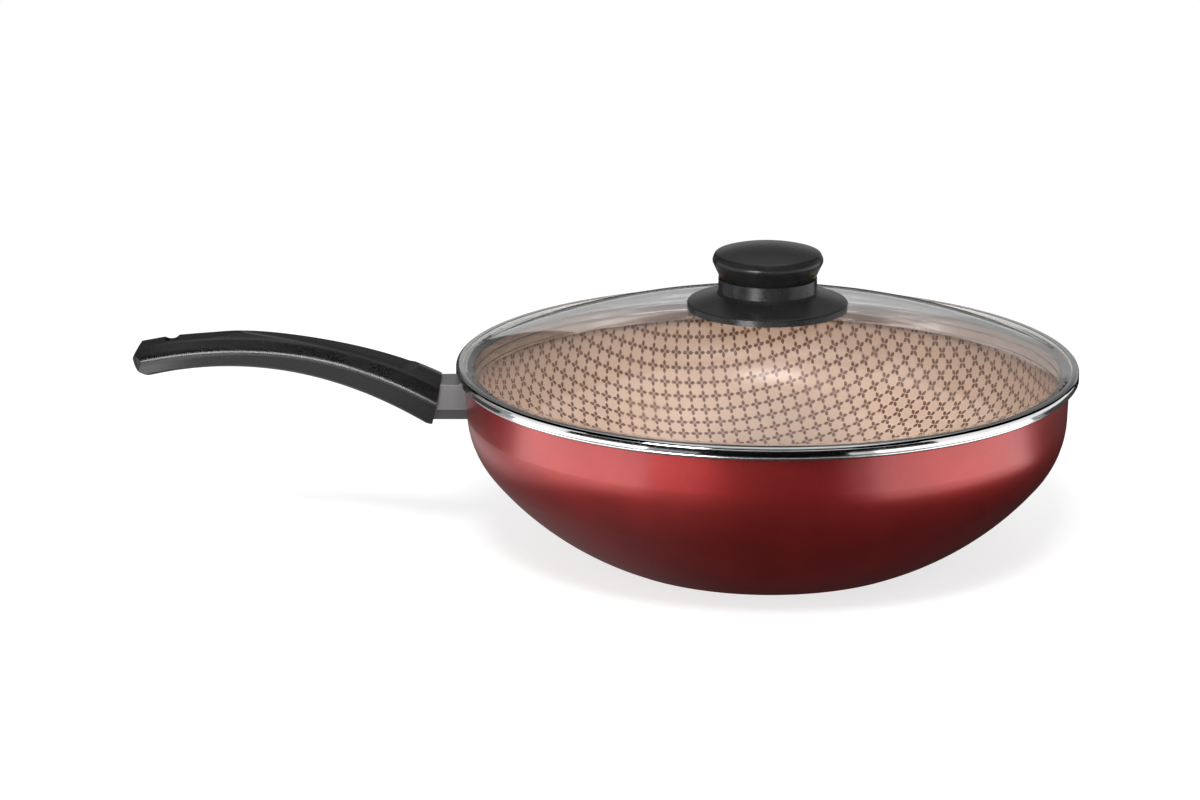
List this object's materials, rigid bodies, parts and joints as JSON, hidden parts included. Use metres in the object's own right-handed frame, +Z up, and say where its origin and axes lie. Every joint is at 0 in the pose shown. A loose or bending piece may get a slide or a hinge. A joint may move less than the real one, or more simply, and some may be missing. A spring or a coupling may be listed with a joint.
{
  "type": "wok with lid",
  "caption": "Stovetop wok of pressed aluminium with a flat base, one long moulded handle and a lift-off domed glass lid with a round knob.",
  "frame": {"origin": "centre of the flat base, on the surface that the wok stands on", "axes": "+Z up along the bowl's axis, handle along -X, so +X is the long direction"},
  "size_m": [0.4306, 0.2834, 0.1428],
  "materials": {
    "enamelled_aluminium": "metallic red outside, beige printed non-stick coating inside, bare turned lip",
    "cast_aluminium": "satin",
    "rivet_aluminium": "satin",
    "bakelite": "satin black, fine grain",
    "zinc_steel": "bright zinc",
    "stainless_band": "polished stainless",
    "tempered_glass": "clear, faint grey tint",
    "silicone": "translucent",
    "black_silicone": "matte",
    "brass": "turned"
  },
  "bodies": {
    "pan": {"pan_body": "enamelled_aluminium", "handle_bracket": "cast_aluminium", "bracket_rivets": "rivet_aluminium", "handle_grip": "bakelite", "handle_screw": "zinc_steel", "handle_screw_washer": "zinc_steel"},
    "lid": {"lid_glass": "tempered_glass", "lid_rim_band": "stainless_band", "lid_rim_seal": "silicone", "lid_vent_eyelet": "stainless_band", "knob_base": "bakelite", "knob_head": "bakelite", "knob_insert": "brass", "knob_gasket_upper": "black_silicone", "knob_gasket_lower": "black_silicone", "knob_washer": "zinc_steel", "knob_screw": "zinc_steel"}
  },
  "joints": [
    {"name": "lid_lift", "type": "slide", "parent": "pan", "child": "lid", "axis": [0, 0, 1], "range_m": [0, 0.15]}
  ]
}
